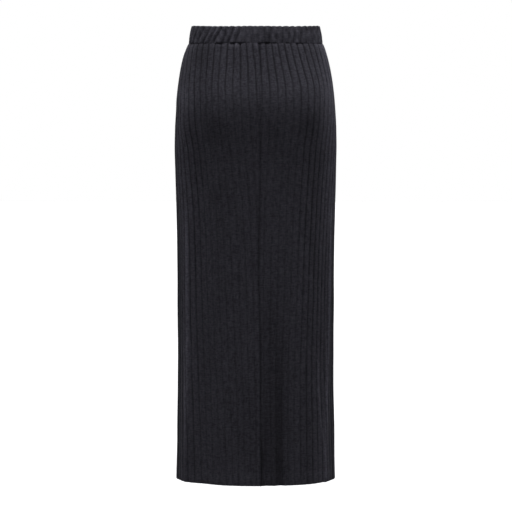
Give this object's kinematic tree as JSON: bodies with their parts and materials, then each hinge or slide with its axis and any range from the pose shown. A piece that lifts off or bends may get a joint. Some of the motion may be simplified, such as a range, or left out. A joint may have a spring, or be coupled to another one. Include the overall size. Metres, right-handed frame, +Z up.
{
  "type": "ribbed midi skirt",
  "caption": "Straight ribbed-knit midi skirt with a gathered elastic waistband, hollow and filled out as worn, open at the waist and the hem.",
  "frame": {"origin": "middle of the waist opening, halfway up the waistband", "axes": "+Z up from the hem to the waist, -Y towards the back with the centre back seam, +X to the right when the back is looked at"},
  "size_m": [0.3234, 0.2524, 0.904],
  "materials": {
    "rib_knit": "matte wide-rib knit in charcoal black",
    "band_knit": "matte knit gathered on elastic, charcoal black"
  },
  "bodies": {
    "root": {"waistband": "band_knit", "back_left_panel": "rib_knit", "back_right_panel": "rib_knit", "front_panel": "rib_knit"}
  },
  "joints": []
}
